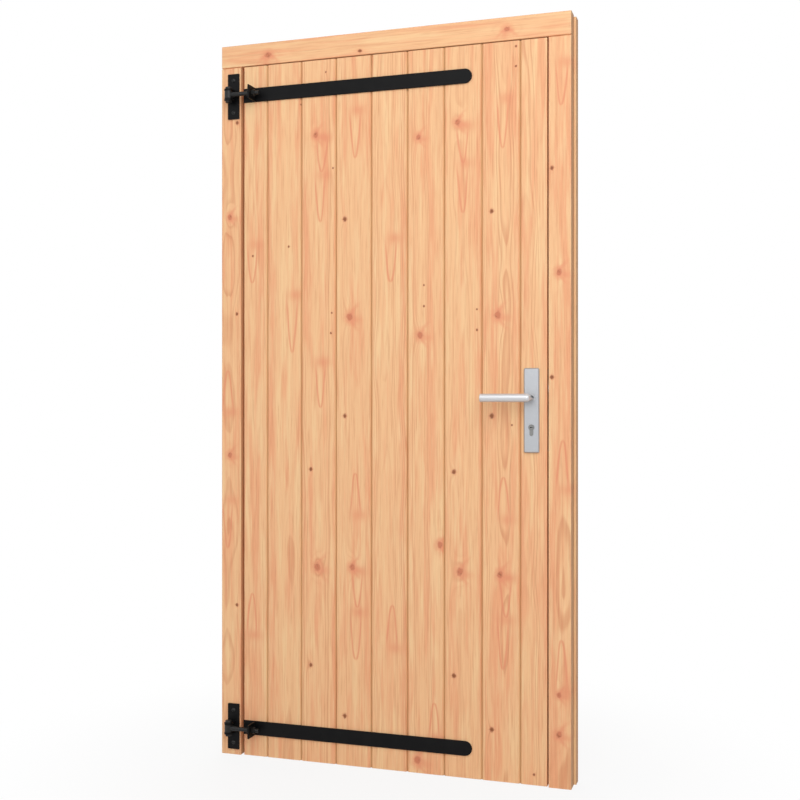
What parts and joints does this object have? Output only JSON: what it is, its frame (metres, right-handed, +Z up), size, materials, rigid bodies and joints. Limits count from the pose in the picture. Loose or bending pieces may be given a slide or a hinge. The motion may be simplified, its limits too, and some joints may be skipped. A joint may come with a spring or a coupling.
{
  "type": "board door with frame",
  "caption": "Ledged and braced timber board door on adjustable strap hinges in a rebated frame, with lever handles, a spring latch and a key-turned dead bolt.",
  "frame": {"origin": "on the floor, in the middle of the frame's width and of the leaf's thickness", "axes": "+Z up, +X to the right seen from outside, the outside faces -Y"},
  "size_m": [1.104, 0.183, 2.2],
  "materials": {
    "fir_boards": "planed softwood, bare",
    "fir_ledges": "planed softwood, bare",
    "fir_frame": "planed softwood, bare",
    "black_steel": "black satin powder coat",
    "zinc_steel": "zinc plated",
    "nickel_brass": "satin nickel plate",
    "satin_aluminium": "satin anodised",
    "grey_nylon": "moulded nylon"
  },
  "bodies": {
    "frame": {"hinge_jamb": "fir_frame", "lock_jamb": "fir_frame", "head": "fir_frame", "upper_pintle_plate": "black_steel", "lower_pintle_plate": "black_steel", "upper_pintle_pin": "black_steel", "lower_pintle_pin": "black_steel", "pintle_nuts": "black_steel", "pintle_screws": "black_steel", "frame_screws": "zinc_steel", "strike_plate": "zinc_steel", "strike_screws": "zinc_steel"},
    "leaf": {"board_1": "fir_boards", "board_2": "fir_boards", "board_3": "fir_boards", "board_4": "fir_boards", "board_5": "fir_boards", "board_6": "fir_boards", "board_7": "fir_boards", "board_8": "fir_boards", "board_9": "fir_boards", "hinge_stile": "fir_ledges", "lock_stile": "fir_ledges", "bottom_rail": "fir_ledges", "middle_rail": "fir_ledges", "top_rail": "fir_ledges", "lower_brace": "fir_ledges", "upper_brace": "fir_ledges", "upper_strap": "black_steel", "lower_strap": "black_steel", "upper_eye_bolt": "black_steel", "lower_eye_bolt": "black_steel", "eye_bolt_nuts": "black_steel", "strap_nuts": "zinc_steel", "strap_washers": "zinc_steel", "lock_case": "zinc_steel", "lock_cover": "zinc_steel", "lock_forend": "zinc_steel", "forend_screws": "zinc_steel", "cylinder_screw": "zinc_steel", "plate_bolts": "zinc_steel", "cylinder_barrel": "nickel_brass", "outside_plate": "satin_aluminium", "inside_plate": "satin_aluminium", "outside_bush": "grey_nylon", "inside_bush": "grey_nylon"},
    "lever": {"outside_lever": "satin_aluminium", "inside_lever": "satin_aluminium", "spindle": "zinc_steel", "follower": "zinc_steel"},
    "latch": {"latch_bolt": "zinc_steel", "latch_spring": "zinc_steel"},
    "dead_bolt": {"dead_bolt": "zinc_steel"},
    "plug": {"outside_plug": "nickel_brass", "inside_plug": "nickel_brass", "cylinder_cam": "nickel_brass"}
  },
  "joints": [
    {"name": "leaf_swing", "type": "hinge", "parent": "frame", "child": "leaf", "pos_m": [-0.509, -0.0495, 1.06], "axis": [0, 0, -1], "range_deg": [0, 165]},
    {"name": "lever_turn", "type": "hinge", "parent": "leaf", "child": "lever", "pos_m": [0.432, 0, 1.106], "axis": [0, -1, 0], "range_deg": [0, 35], "stiffness_Nm_per_rad": 0.8, "springref_deg": -34.38},
    {"name": "latch_slide", "type": "slide", "parent": "leaf", "child": "latch", "axis": [-1, 0, 0], "range_m": [0, 0.01305], "deforming": ["latch_spring"]},
    {"name": "plug_turn", "type": "hinge", "parent": "leaf", "child": "plug", "pos_m": [0.432, 0, 1.022], "axis": [0, 1, 0], "range_deg": [0, 360.5]},
    {"name": "dead_bolt_slide", "type": "slide", "parent": "leaf", "child": "dead_bolt", "axis": [1, 0, 0], "range_m": [0, 0.02]}
  ],
  "couplings": [
    {"joint": "latch_slide", "follows": "lever_turn", "m_per_rad": 0.021281},
    {"joint": "plug_turn", "follows": "dead_bolt_slide", "rad_per_m": 314.16}
  ]
}
